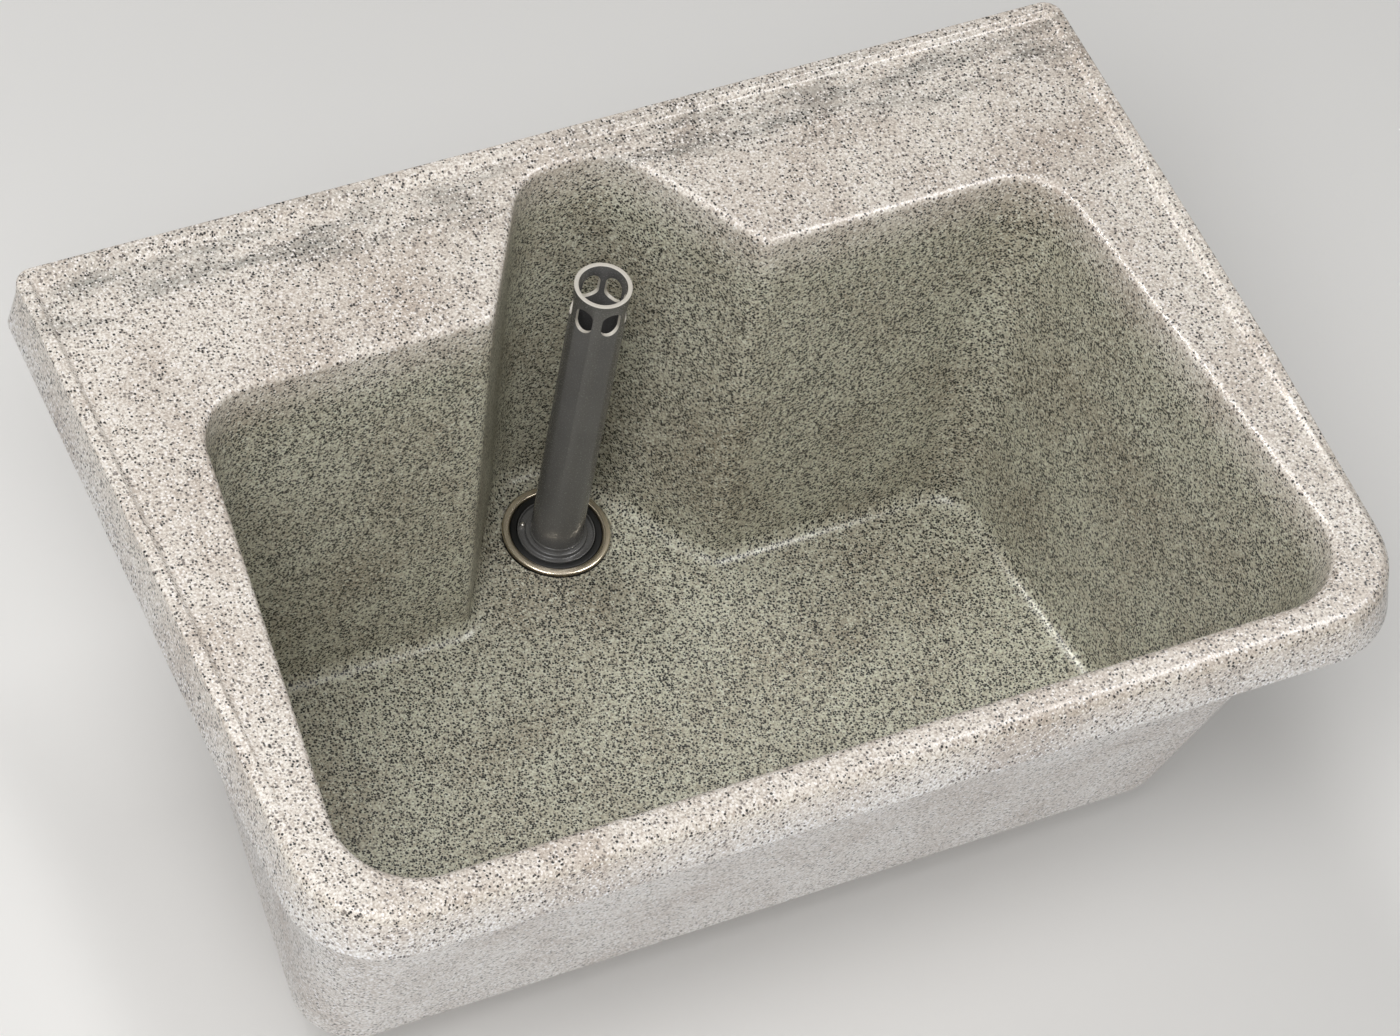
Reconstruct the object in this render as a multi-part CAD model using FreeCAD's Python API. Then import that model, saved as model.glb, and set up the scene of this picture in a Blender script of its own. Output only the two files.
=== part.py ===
import FreeCAD, Part
import math
import os

# Wall-hung mop service sink, in millimetres.
# Origin: middle of the rim's rear face, level with the deck. +X right, +Y to the wall, +Z up.

# Rim
rim_width = 700.0
rim_depth = 490.0
lip_height = 35.0
wall = 8.0
least_radius = 1.0
rear_corner_radius = 12.0
front_corner_radius = 58.0
nose_radius = 8.0
lip_flare = 4.0
flare_start = 9.0

# Bead round the rear and both sides, which sinks into the nose before the front corners
bead_height = 3.5
bead_crown = 7.5
bead_foot = 11.0
bead_round = 1.6
bead_fade = 140.0
bead_root = 2.0

# Bowl opening in the deck
front_margin = 26.0
rear_margin = 120.0
side_margin_front = 30.0
side_margin_rear = 70.5
opening_front_radius = 47.0
opening_rear_radius = 38.0
edge_radius = 5.0

# Niche behind the bowl, for the waste and its standpipe
niche_mouth = 179.0
niche_back = 62.0
niche_margin = 23.5
mouth_radius = 12.0
niche_radius = 40.0

# Bowl below the deck: slopes in degrees from the vertical, floor slope in degrees
bowl_depth = 292.0
front_draft = 14.5
side_draft = 4.6
rear_draft = 4.3
niche_draft = 3.0
floor_slope = 1.0
floor_fillet = 11.0
floor_front_radius = 28.0
floor_rear_radius = 30.0
niche_floor_radius = 31.0

# Outlet moulded in the niche's floor
drain_margin = 90.0
ledge_width = 4.0
ledge_depth = 2.5
pocket_depth = 10.0
boss_radius = 46.0
boss_draft = 3.0
hole_clearance = 1.1
cut_past = 1.0

# Waste, with a G 1 1/2 thread: at its pitch radius down through the nut, at its crest below
flange_radius = 35.0
flange_ring = 5.0
flange_rise = 2.5
flange_round = 1.1
dish_depth = 9.1
metal = 1.6
dish_clearance = 0.6
shank_radius = 23.9
pitch_radius = 23.16
bore_radius = 20.5
shank_length = 54.0
grid_bar = 3.5
grid_height = 4.0
grid_lift = 20.0

# Rings and nut that clamp the waste to the floor
gasket_thickness = 2.0
under_washer_radius = 34.0
under_washer_thickness = 2.5
slip_washer_radius = 32.5
slip_washer_thickness = 1.5
nut_across_flats = 60.0
nut_height = 11.0
nut_chamfer = 1.6
nut_clearance = 0.1
ring_clearance = 0.4

# Rubber seat ring, which lifts with the standpipe's foot
seal_clearance = 0.3
seal_base = 2.0
seal_top = 1.0
foot_gap = 0.3

# Foot of the standpipe
foot_radius = 25.0
foot_top = 1.5
foot_lip = 0.9
foot_channel_depth = 3.0
foot_collar = 3.0
spigot_clearance = 0.5
spigot_length = 20.0
socket_depth = 5.0
socket_clearance = 0.1

# Standpipe tube
pipe_height = 252.0
pipe_top_radius = 17.4
pipe_base_radius = 16.8
pipe_wall = 2.4
pipe_bead = 0.45
pipe_bead_height = 2.2
pipe_edge = 0.35
slot_count = 6
slot_width = 12.0
slot_height = 20.0
slot_drop = 18.5
slot_first_angle = 30.0
slot_past = 5.0

# Round-headed stud on the foot
stud_radius = 1.75
stud_shank_radius = 1.0
stud_rise = 1.6
stud_dome = 1.4
stud_grip = 1.8
stud_angle = 146.0

# Worked out from the sizes above
drain_y = -drain_margin
floor_z = -bowl_depth
loft_depth = bowl_depth + 2 * wall
dish_radius = flange_radius - flange_ring
pocket_radius = dish_radius + metal + dish_clearance
ledge_radius = pocket_radius + ledge_width
boss_depth = pocket_depth + wall
flange_seat = gasket_thickness - ledge_depth
flange_top = flange_seat + flange_rise
land_z = flange_top - dish_depth
shank_end = land_z - metal - shank_length
nut_top = -boss_depth - under_washer_thickness - slip_washer_thickness
nut_low = nut_top - nut_height
foot_seat = land_z + seal_base
pipe_seat = foot_top - socket_depth
pipe_base_bore = pipe_base_radius - pipe_wall
socket_radius = pipe_base_radius + socket_clearance
collar_radius = socket_radius + foot_collar
lip_inner_radius = foot_radius - foot_lip


def point(x, y, z=0.0):
    return FreeCAD.Vector(x, y, z)


def cross(a, b):
    return a[0] * b[1] - a[1] * b[0]


def direction(a, b):
    """Unit vector in plan from corner a to corner b."""
    length = math.hypot(b[0] - a[0], b[1] - a[1])
    return ((b[0] - a[0]) / length, (b[1] - a[1]) / length)


def turn_at(corners, i):
    """Direction before corner i, direction after it, and the signed sine of the turn."""
    before = direction(corners[i - 1], corners[i])
    after = direction(corners[i], corners[(i + 1) % len(corners)])
    return before, after, cross(before, after)


def moved_in(corners, insets):
    """Corners (x, y, radius) after each side i, from corner i to i + 1, moves in by insets[i]."""
    moved = []
    for i, (x, y, radius) in enumerate(corners):
        before, after, sine = turn_at(corners, i)
        back = insets[i - 1]
        ahead = insets[i]
        shift_x = (back * after[0] - ahead * before[0]) / sine
        shift_y = (back * after[1] - ahead * before[1]) / sine
        moved.append((x + shift_x, y + shift_y, radius))
    return moved


def grown(corners, distance):
    """Outline that runs outside the given one, with its rounded corners concentric."""
    moved = moved_in(corners, [-distance] * len(corners))
    result = []
    for i, (x, y, radius) in enumerate(moved):
        sine = turn_at(corners, i)[2]
        radius = max(radius + distance if sine > 0 else radius - distance, least_radius)
        result.append((x, y, radius))
    return result


def outline(corners, z):
    """Closed wire round the corners at height z: one arc and one straight for each corner."""
    arcs = []
    for i, (x, y, radius) in enumerate(corners):
        before, after, sine = turn_at(corners, i)
        half = abs(math.asin(max(-1.0, min(1.0, sine)))) / 2
        if before[0] * after[0] + before[1] * after[1] < 0:
            half = math.pi / 2 - half
        reach = radius * math.tan(half)
        start = point(x - before[0] * reach, y - before[1] * reach, z)
        end = point(x + after[0] * reach, y + after[1] * reach, z)
        inward = direction((0.0, 0.0), (after[0] - before[0], after[1] - before[1]))
        sag = radius / math.cos(half) - radius
        middle = point(x + inward[0] * sag, y + inward[1] * sag, z)
        arcs.append((start, middle, end))
    edges = []
    for i, (start, middle, end) in enumerate(arcs):
        edges.append(Part.Arc(start, middle, end).toShape())
        edges.append(Part.LineSegment(end, arcs[(i + 1) % len(arcs)][0]).toShape())
    return Part.Wire(edges)


def prism(corners, low, high):
    """Upright solid on an outline, from height low to height high."""
    return Part.Face(outline(corners, low)).extrude(point(0, 0, high - low))


def turned(profile):
    """Solid of revolution about the outlet's axis, from (radius, height above the floor)."""
    points = [point(radius, 0, height) for radius, height in profile]
    face = Part.Face(Part.makePolygon(points + points[:1]))
    solid = face.revolve(point(0, 0, 0), point(0, 0, 1), 360)
    return at_drain(solid)


def at_drain(shape):
    shape.translate(point(0, drain_y, floor_z))
    return shape


def ring_edges(shape, radius, height):
    """Circular edges of a turned piece at one radius and one height above the floor."""
    found = []
    for edge in shape.Edges:
        curve = edge.Curve
        if not hasattr(curve, "Radius") or abs(curve.Radius - radius) > 0.01:
            continue
        if abs(curve.Center.z - floor_z - height) < 0.01:
            found.append(edge)
    return found


def lip_corners():
    """Foot of the lip, the rim's full size."""
    half = rim_width / 2
    return [
        (-half, -rim_depth, front_corner_radius),
        (half, -rim_depth, front_corner_radius),
        (half, 0.0, rear_corner_radius),
        (-half, 0.0, rear_corner_radius),
    ]


def deck_corners():
    """Deck edge: inside the lip's foot at the front and sides, above it at the rear."""
    return moved_in(lip_corners(), [lip_flare, lip_flare, 0.0, lip_flare])


def opening_corners():
    """Bowl and niche in one outline, anticlockwise from the front left corner."""
    front = -rim_depth + front_margin
    half_front = rim_width / 2 - side_margin_front
    half_rear = rim_width / 2 - side_margin_rear
    return [
        (-half_front, front, opening_front_radius),
        (half_front, front, opening_front_radius),
        (half_rear, -rear_margin, opening_rear_radius),
        (niche_mouth / 2, -rear_margin, mouth_radius),
        (niche_back / 2, -niche_margin, niche_radius),
        (-niche_back / 2, -niche_margin, niche_radius),
        (-niche_mouth / 2, -rear_margin, mouth_radius),
        (-half_rear, -rear_margin, opening_rear_radius),
    ]


def lower_corners():
    """The same outline at the foot of the drafted walls."""
    side = loft_depth * math.tan(math.radians(side_draft))
    front = loft_depth * math.tan(math.radians(front_draft))
    rear = loft_depth * math.tan(math.radians(rear_draft))
    niche = loft_depth * math.tan(math.radians(niche_draft))
    moved = moved_in(opening_corners(), [front, side, rear, niche, niche, niche, rear, side])
    radii = [
        floor_front_radius, floor_front_radius, floor_rear_radius, mouth_radius,
        niche_floor_radius, niche_floor_radius, mouth_radius, floor_rear_radius,
    ]
    return [(x, y, radius) for (x, y, _), radius in zip(moved, radii)]


def above_floor(height):
    """Everything above a floor that falls to the rear and has this height at the outlet."""
    reach = rim_width + rim_depth
    block = Part.makeBox(2 * reach, 2 * reach, 2 * reach, point(-reach, -reach, height))
    block.rotate(point(0, drain_y, height), point(1, 0, 0), -floor_slope)
    return block


def drafted(top, foot, floor_height, fillet):
    """Tapered body under the deck, cut at the sloping floor and rounded along it."""
    body = Part.makeLoft([outline(top, 0.0), outline(foot, -loft_depth)], True, True)
    body = body.common(above_floor(floor_height)).Solids[0]
    floor_face = min(body.Faces, key=lambda face: face.CenterOfMass.z)
    return body.makeFillet(fillet, floor_face.Edges)


def bead_section():
    """Section of the bead on the right side, in the XZ plane, with x = 0 at the rim's edge."""
    crown = bead_height
    low = -nose_radius - bead_root
    slope = direction((-bead_crown, crown), (-bead_foot, 0.0))
    shoulder = (-bead_crown + bead_round, crown)
    flank = (-bead_crown + slope[0] * bead_round, crown + slope[1] * bead_round)
    half_turn = math.atan2(crown, bead_foot - bead_crown) / 2
    shoulder_sag = bead_round * math.tan(half_turn / 2)
    shoulder_middle = (
        -bead_crown + shoulder_sag * math.sin(half_turn),
        crown - shoulder_sag * math.cos(half_turn),
    )
    corner_sag = bead_round * (1 - math.sqrt(0.5))
    edges = [
        Part.LineSegment(point(-wall / 2, 0, low), point(0, 0, low)),
        Part.LineSegment(point(0, 0, low), point(0, 0, crown - bead_round)),
        Part.Arc(
            point(0, 0, crown - bead_round),
            point(-corner_sag, 0, crown - corner_sag),
            point(-bead_round, 0, crown),
        ),
        Part.LineSegment(point(-bead_round, 0, crown), point(shoulder[0], 0, shoulder[1])),
        Part.Arc(
            point(shoulder[0], 0, shoulder[1]),
            point(shoulder_middle[0], 0, shoulder_middle[1]),
            point(flank[0], 0, flank[1]),
        ),
        Part.LineSegment(point(flank[0], 0, flank[1]), point(-bead_foot, 0, 0)),
        Part.LineSegment(point(-bead_foot, 0, 0), point(-bead_foot, 0, -bead_root / 2)),
        Part.LineSegment(point(-bead_foot, 0, -bead_root / 2), point(-wall / 2, 0, low)),
    ]
    return Part.Wire([edge.toShape() for edge in edges])


def bead():
    """Bead swept round the rear, and its two ends that sink into the nose."""
    half = rim_width / 2 - lip_flare
    radius = rear_corner_radius
    start = -rim_depth + front_corner_radius + bead_fade
    sag = radius * (1 - math.sqrt(0.5))
    path = [
        Part.LineSegment(point(half, start), point(half, -radius)),
        Part.Arc(point(half, -radius), point(half - sag, -sag), point(half - radius, 0)),
        Part.LineSegment(point(half - radius, 0), point(radius - half, 0)),
        Part.Arc(point(radius - half, 0), point(sag - half, -sag), point(-half, -radius)),
        Part.LineSegment(point(-half, -radius), point(-half, start)),
    ]
    spine = Part.Wire([edge.toShape() for edge in path])
    section = bead_section()
    section.translate(point(half, start, 0))
    swept = spine.makePipeShell([section], True, False)
    sink = point(0, -bead_fade, -bead_height - nose_radius)
    right_end = Part.Face(section).extrude(sink)
    left_end = right_end.mirror(point(0, 0, 0), point(1, 0, 0))
    return swept.fuse([right_end, left_end])


def rim():
    """Deck with its rounded nose, the lip that hangs from it and the bead."""
    deck = deck_corners()
    lip = lip_corners()
    body = prism(deck, -flare_start, 0.0)
    top_face = max(body.Faces, key=lambda face: face.CenterOfMass.z)
    body = body.makeFillet(nose_radius, top_face.Edges)
    skirt = Part.makeLoft([outline(deck, -flare_start), outline(lip, -lip_height)], True, True)
    hollow = prism(grown(deck, -wall), -lip_height - cut_past, -wall)
    return body.fuse([skirt, bead()]).cut(hollow)


def outlet_boss():
    """Thick round pad under the niche's floor."""
    foot = boss_radius - boss_draft
    return turned([(0, -wall / 2), (boss_radius, -wall / 2), (foot, -boss_depth), (0, -boss_depth)])


def outlet_cut():
    """Ledge, pocket and hole that take the waste."""
    hole = shank_radius + hole_clearance
    top = floor_fillet
    below = -boss_depth - cut_past
    return turned([
        (0, top), (ledge_radius, top), (ledge_radius, -ledge_depth), (pocket_radius, -ledge_depth),
        (pocket_radius, -pocket_depth), (hole, -pocket_depth), (hole, below), (0, below),
    ])


def sink_basin():
    top = opening_corners()
    foot = lower_corners()
    cavity = drafted(top, foot, floor_z, floor_fillet)
    outside = drafted(grown(top, wall), grown(foot, wall), floor_z - wall, floor_fillet + wall)
    body = rim().fuse([outside, outlet_boss()])
    body = body.cut(cavity).cut(outlet_cut()).removeSplitter()
    deck = [face for face in body.Faces if is_deck(face)]
    deck_face = max(deck, key=lambda face: face.Area)
    rim_wire = max(deck_face.Wires, key=lambda wire: wire.BoundBox.DiagonalLength)
    edges = [edge for wire in deck_face.Wires if not wire.isSame(rim_wire) for edge in wire.Edges]
    return body.makeFillet(edge_radius, edges).Solids[0]


def is_deck(face):
    box = face.BoundBox
    return abs(box.ZMin) < 0.001 and abs(box.ZMax) < 0.001


def waste_flange():
    """Rim ring, dish with a flat land, threaded shank and a cross of bars low in its bore."""
    body = turned([
        (bore_radius, land_z), (dish_radius, land_z), (dish_radius, flange_top),
        (flange_radius, flange_top), (flange_radius, flange_seat),
        (dish_radius + metal, flange_seat), (dish_radius + metal, land_z - metal),
        (pitch_radius, land_z - metal), (pitch_radius, nut_low), (shank_radius, nut_low),
        (shank_radius, shank_end), (bore_radius, shank_end),
    ])
    rounded = ring_edges(body, flange_radius, flange_top) + ring_edges(body, dish_radius, flange_top)
    body = body.makeFillet(flange_round, rounded)
    length = 2 * bore_radius + metal
    bar = Part.makeBox(length, grid_bar, grid_height)
    bar.translate(point(-length / 2, -grid_bar / 2, shank_end + grid_lift))
    other = bar.copy()
    other.rotate(point(0, 0, 0), point(0, 0, 1), 90)
    return body.fuse([at_drain(bar), at_drain(other)]).removeSplitter()


def flat_ring(inner, outer, top, thickness):
    return turned([(inner, top), (outer, top), (outer, top - thickness), (inner, top - thickness)])


def flange_gasket():
    return flat_ring(dish_radius + metal + dish_clearance, flange_radius, flange_seat, gasket_thickness)


def under_washer():
    inner = shank_radius + ring_clearance
    return flat_ring(inner, under_washer_radius, -boss_depth, under_washer_thickness)


def slip_washer():
    inner = shank_radius + ring_clearance
    top = -boss_depth - under_washer_thickness
    return flat_ring(inner, slip_washer_radius, top, slip_washer_thickness)


def backnut():
    """Hexagon nut with its corners chamfered at both ends."""
    flats = nut_across_flats / 2
    corner = flats / math.cos(math.radians(30))
    points = []
    for i in range(7):
        angle = math.radians(60 * i)
        points.append(point(corner * math.cos(angle), corner * math.sin(angle), nut_low))
    hexagon = Part.Face(Part.makePolygon(points)).extrude(point(0, 0, nut_height))
    hexagon = at_drain(hexagon)
    inner = pitch_radius + nut_clearance
    envelope = turned([
        (inner, nut_top), (flats, nut_top), (corner, nut_top - nut_chamfer),
        (corner, nut_low + nut_chamfer), (flats, nut_low), (inner, nut_low),
    ])
    return hexagon.common(envelope).Solids[0]


def foot_seal():
    """Cup-shaped rubber ring between the dish and the standpipe's foot."""
    outer = dish_radius - seal_clearance
    inner = bore_radius + seal_clearance
    hold = foot_radius + foot_gap
    top = flange_top - seal_top
    body = turned([
        (inner, land_z), (outer, land_z), (outer, top), (hold, top), (hold, foot_seat),
        (inner, foot_seat),
    ])
    return body.makeFillet(0.5, ring_edges(body, outer, top) + ring_edges(body, hold, top))


def standpipe_foot():
    """Flared disc with a raised lip, a channel, a collar for the tube and a hollow spigot."""
    spigot = bore_radius - spigot_clearance
    channel = foot_top - foot_channel_depth
    spigot_end = land_z - spigot_length
    body = turned([
        (pipe_base_bore, pipe_seat), (socket_radius, pipe_seat), (socket_radius, foot_top),
        (collar_radius, foot_top), (collar_radius, channel), (lip_inner_radius, channel),
        (lip_inner_radius, foot_top), (foot_radius, foot_top), (foot_radius, foot_seat),
        (spigot, foot_seat), (spigot, spigot_end), (pipe_base_bore, spigot_end),
    ])
    soft = ring_edges(body, foot_radius, foot_seat) + ring_edges(body, spigot, spigot_end)
    body = body.makeFillet(0.6, soft)
    hole = Part.makeCylinder(stud_shank_radius, stud_grip, stud_place(channel - stud_grip))
    return body.cut(at_drain(hole))


def stud_place(height):
    """Middle of the foot's channel at the stud's angle."""
    radius = (collar_radius + lip_inner_radius) / 2
    angle = math.radians(stud_angle)
    return point(radius * math.cos(angle), radius * math.sin(angle), height)


def foot_stud():
    """Round head on a short shank that is pressed into the foot's channel."""
    channel = foot_top - foot_channel_depth
    low = channel - stud_grip
    shoulder = channel + stud_rise
    crown = shoulder + stud_dome
    ball = (stud_radius ** 2 + stud_dome ** 2) / (2 * stud_dome)
    centre = crown - ball
    halfway = (math.atan2(shoulder - centre, stud_radius) + math.pi / 2) / 2
    middle = point(ball * math.cos(halfway), 0, centre + ball * math.sin(halfway))
    edges = [
        Part.LineSegment(point(0, 0, low), point(stud_shank_radius, 0, low)),
        Part.LineSegment(point(stud_shank_radius, 0, low), point(stud_shank_radius, 0, channel)),
        Part.LineSegment(point(stud_shank_radius, 0, channel), point(stud_radius, 0, channel)),
        Part.LineSegment(point(stud_radius, 0, channel), point(stud_radius, 0, shoulder)),
        Part.Arc(point(stud_radius, 0, shoulder), middle, point(0, 0, crown)),
        Part.LineSegment(point(0, 0, crown), point(0, 0, low)),
    ]
    face = Part.Face(Part.Wire([edge.toShape() for edge in edges]))
    body = face.revolve(point(0, 0, 0), point(0, 0, 1), 360)
    body.translate(stud_place(0.0))
    return at_drain(body)


def overflow_slot(angle):
    """Upright slot with round ends, through one side of the tube near its top."""
    radius = slot_width / 2
    straight = slot_height - slot_width
    reach = pipe_top_radius + slot_past
    middle = pipe_height - slot_drop
    low = Part.makeCylinder(radius, reach, point(0, 0, middle - straight / 2), point(1, 0, 0))
    high = Part.makeCylinder(radius, reach, point(0, 0, middle + straight / 2), point(1, 0, 0))
    body = Part.makeBox(reach, slot_width, straight, point(0, -radius, middle - straight / 2))
    body = body.fuse([low, high])
    body.rotate(point(0, 0, 0), point(0, 0, 1), angle)
    return at_drain(body)


def standpipe_tube():
    """Slightly tapered tube with a bead at each end and a ring of overflow slots."""
    top = pipe_height
    foot_bead = foot_top + pipe_bead_height
    top_bead = top - pipe_bead_height
    top_bore = pipe_top_radius - pipe_wall
    body = turned([
        (pipe_base_bore, pipe_seat), (pipe_base_radius, pipe_seat), (pipe_base_radius, foot_top),
        (pipe_base_radius + pipe_bead, foot_top), (pipe_base_radius + pipe_bead, foot_bead),
        (pipe_base_radius, foot_bead), (pipe_top_radius, top_bead),
        (pipe_top_radius + pipe_bead, top_bead), (pipe_top_radius + pipe_bead, top),
        (top_bore, top),
    ])
    body = body.makeFillet(pipe_edge, ring_edges(body, pipe_top_radius + pipe_bead, top)
                           + ring_edges(body, top_bore, top))
    slots = [overflow_slot(slot_first_angle + i * 360 / slot_count) for i in range(slot_count)]
    return body.cut(slots).Solids[0]


nodes = {
    "sink_basin": sink_basin,
    "waste_flange": waste_flange,
    "flange_gasket": flange_gasket,
    "under_washer": under_washer,
    "slip_washer": slip_washer,
    "backnut": backnut,
    "foot_seal": foot_seal,
    "standpipe_foot": standpipe_foot,
    "standpipe_tube": standpipe_tube,
    "foot_stud": foot_stud,
}

os.makedirs("parts", exist_ok=True)
for name, make in nodes.items():
    shape = make()
    print(name, "valid", shape.isValid(), "solids", len(shape.Solids),
          "volume cm3", round(shape.Volume / 1000, 2))
    shape.exportStep("parts/" + name + ".step")
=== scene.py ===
import math

import bmesh
import bpy
from mathutils import Matrix, Vector


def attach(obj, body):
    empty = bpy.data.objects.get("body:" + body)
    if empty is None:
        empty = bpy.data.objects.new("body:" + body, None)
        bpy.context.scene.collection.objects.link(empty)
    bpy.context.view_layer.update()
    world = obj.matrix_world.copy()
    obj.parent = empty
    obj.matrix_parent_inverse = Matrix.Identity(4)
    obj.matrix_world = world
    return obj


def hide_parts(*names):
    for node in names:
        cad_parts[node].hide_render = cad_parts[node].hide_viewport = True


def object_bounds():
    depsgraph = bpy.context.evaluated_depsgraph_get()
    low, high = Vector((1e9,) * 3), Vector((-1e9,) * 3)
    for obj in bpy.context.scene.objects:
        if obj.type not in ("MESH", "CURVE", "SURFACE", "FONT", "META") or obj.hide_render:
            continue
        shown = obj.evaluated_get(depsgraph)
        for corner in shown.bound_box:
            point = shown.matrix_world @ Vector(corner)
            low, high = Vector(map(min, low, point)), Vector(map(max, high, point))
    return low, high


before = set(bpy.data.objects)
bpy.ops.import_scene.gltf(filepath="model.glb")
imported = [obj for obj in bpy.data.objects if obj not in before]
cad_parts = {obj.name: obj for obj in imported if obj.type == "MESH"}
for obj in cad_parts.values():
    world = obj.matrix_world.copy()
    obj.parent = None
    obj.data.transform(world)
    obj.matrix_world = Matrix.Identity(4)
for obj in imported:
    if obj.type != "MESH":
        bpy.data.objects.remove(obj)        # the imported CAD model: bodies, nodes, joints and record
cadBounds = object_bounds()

mm = 0.001               # shapes are built in millimetres, like the CAD, and scaled at the end


def colour(hexCode):
    # sRGB hex to the linear colour a socket takes
    parts = [int(hexCode[i:i + 2], 16) / 255 for i in (1, 3, 5)]
    linear = [part / 12.92 if part <= 0.04045 else ((part + 0.055) / 1.055) ** 2.4 for part in parts]
    return (*linear, 1.0)


def addNode(tree, kind, settings, links=None):
    # settings holds sockets by name or number, and properties; links holds where a socket comes from
    node = tree.nodes.new(kind)
    for name, value in settings.items():
        if isinstance(name, str) and hasattr(node, name):
            setattr(node, name, value)
    for name, value in settings.items():
        if not isinstance(name, str) or not hasattr(node, name):
            node.inputs[name].default_value = value
    for name, source in (links or {}).items():
        tree.links.new(source, node.inputs[name])
    return node


def newMaterial(name):
    material = bpy.data.materials.new(name)
    material.use_nodes = True
    material.node_tree.nodes.clear()
    return material, material.node_tree


def finishMaterial(tree, settings, links):
    shader = addNode(tree, "ShaderNodeBsdfPrincipled", settings, links)
    addNode(tree, "ShaderNodeOutputMaterial", {}, {"Surface": shader.outputs["BSDF"]})


def perMetre(size):
    # scale of a pattern whose cells are this many millimetres across
    return 1000 / size


compositeLook = {
    "resinDark": "#C8BCB0",      # the resin itself is grainy: from this tone
    "resinPale": "#FFF9F0",      # to this one
    "patch": "#DDD6D1",          # multiplies the resin where it set a little darker
    "rearStreak": "#B2B6B6",           # multiplies the streaks along the rear bead
    "darkGrain": "#1F1D1B",
    "greyGrain": "#8A827C",
    "paleGrain": "#FFF9F4",
    "paintedBowlShade": "#E4EADF",     # painted shade: darkens the bowl and tints it slightly green
    "outsideTint": "#F2F7FF",    # the outside is cooler
    "darkSize": 1.5,             # mm across a cell that can hold a grain
    "greySize": 1.8,
    "paleSize": 1.6,
    "grainRadius": (0.35, 0.75), # in parts of a cell, from the smallest grain to the largest
    "grainEdge": 4.0,            # how sharply a grain ends
    "darkShare": 0.2,            # part of the cells that hold a dark grain
    "insideShare": 0.62,         # how many more hold one inside the bowl
    "outsideShare": -0.12,       # and how many fewer on the outside
    "rearStreakShare": 0.3,            # and how many more in the streaks
    "greyShare": 0.26,
    "paleShare": 0.3,
    "darkGather": (0.5, 1.5),    # times the share, from between the clusters or patches to within them
    "greyGather": (1.3, 0.7),
    "paleGather": (0.7, 1.3),
    "clusterSize": 8.0,          # mm, loose clusters of grains
    "patchSize": 70.0,
    "resinSize": 1.5,            # grain of the resin
    "dimpleSize": 2.2,           # dimples of the skin
    "dimpleDepth": 0.03,
    "gatherRange": (0.3, 0.7),   # the part of a soft noise that each pattern uses
    "resinRange": (0.33, 0.67),
    "patchRange": (0.42, 0.72),
    "roughness": (0.32, 0.42),   # of the skin, and over a dark grain
    "turn": (0.5, 0.7, 0.3),     # radians, so that no wall lies along the layers of the noise
}


def grainMask(tree, place, size, share):
    # cells that hold a grain, each with its own size; share may vary over the surface
    small, large = compositeLook["grainRadius"]
    cells = addNode(tree, "ShaderNodeTexVoronoi", {"Scale": perMetre(size)}, {"Vector": place})
    chance = addNode(tree, "ShaderNodeSeparateColor", {}, {"Color": cells.outputs["Color"]})
    chosen = addNode(tree, "ShaderNodeMath", {"operation": "LESS_THAN"},
                     {0: chance.outputs["Red"], 1: share})
    radius = addNode(tree, "ShaderNodeMath", {"operation": "MULTIPLY_ADD", 1: large - small, 2: small},
                     {0: chance.outputs["Green"]})
    edge = addNode(tree, "ShaderNodeMath", {"operation": "SUBTRACT"},
                   {0: radius.outputs[0], 1: cells.outputs["Distance"]})
    soft = addNode(tree, "ShaderNodeMath",
                   {"operation": "MULTIPLY", 1: compositeLook["grainEdge"], "use_clamp": True},
                   {0: edge.outputs[0]})
    return addNode(tree, "ShaderNodeMath", {"operation": "MULTIPLY"},
                   {0: soft.outputs[0], 1: chosen.outputs[0]}).outputs[0]


def grainMasks(tree, place, lumps, inside, outside, rearStreak):
    # the bowl has more dark grains, the outside fewer, and the streaks more
    look = compositeLook
    darkShare = addNode(tree, "ShaderNodeMath",
                        {"operation": "MULTIPLY_ADD", 1: look["insideShare"], 2: look["darkShare"]},
                        {0: inside}).outputs[0]
    for amount, extra in ((outside, "outsideShare"), (rearStreak, "rearStreakShare")):
        darkShare = addNode(tree, "ShaderNodeMath", {"operation": "MULTIPLY_ADD", 1: look[extra]},
                            {0: amount, 2: darkShare}).outputs[0]
    # dark grains gather in the clusters, grey ones between them, and pale ones in the patches
    low, high = look["gatherRange"]
    shares = {}
    for key, base, where in (("dark", 1.0, "cluster"), ("grey", look["greyShare"], "cluster"),
                             ("pale", look["paleShare"], "patch")):
        first, last = look[key + "Gather"]
        shares[key] = addNode(tree, "ShaderNodeMapRange",
                              {"From Min": low, "From Max": high, "To Min": base * first,
                               "To Max": base * last}, {"Value": lumps[where]}).outputs[0]
    shares["dark"] = addNode(tree, "ShaderNodeMath", {"operation": "MULTIPLY"},
                             {0: darkShare, 1: shares["dark"]}).outputs[0]
    return {key: grainMask(tree, place, look[key + "Size"], share) for key, share in shares.items()}


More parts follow.
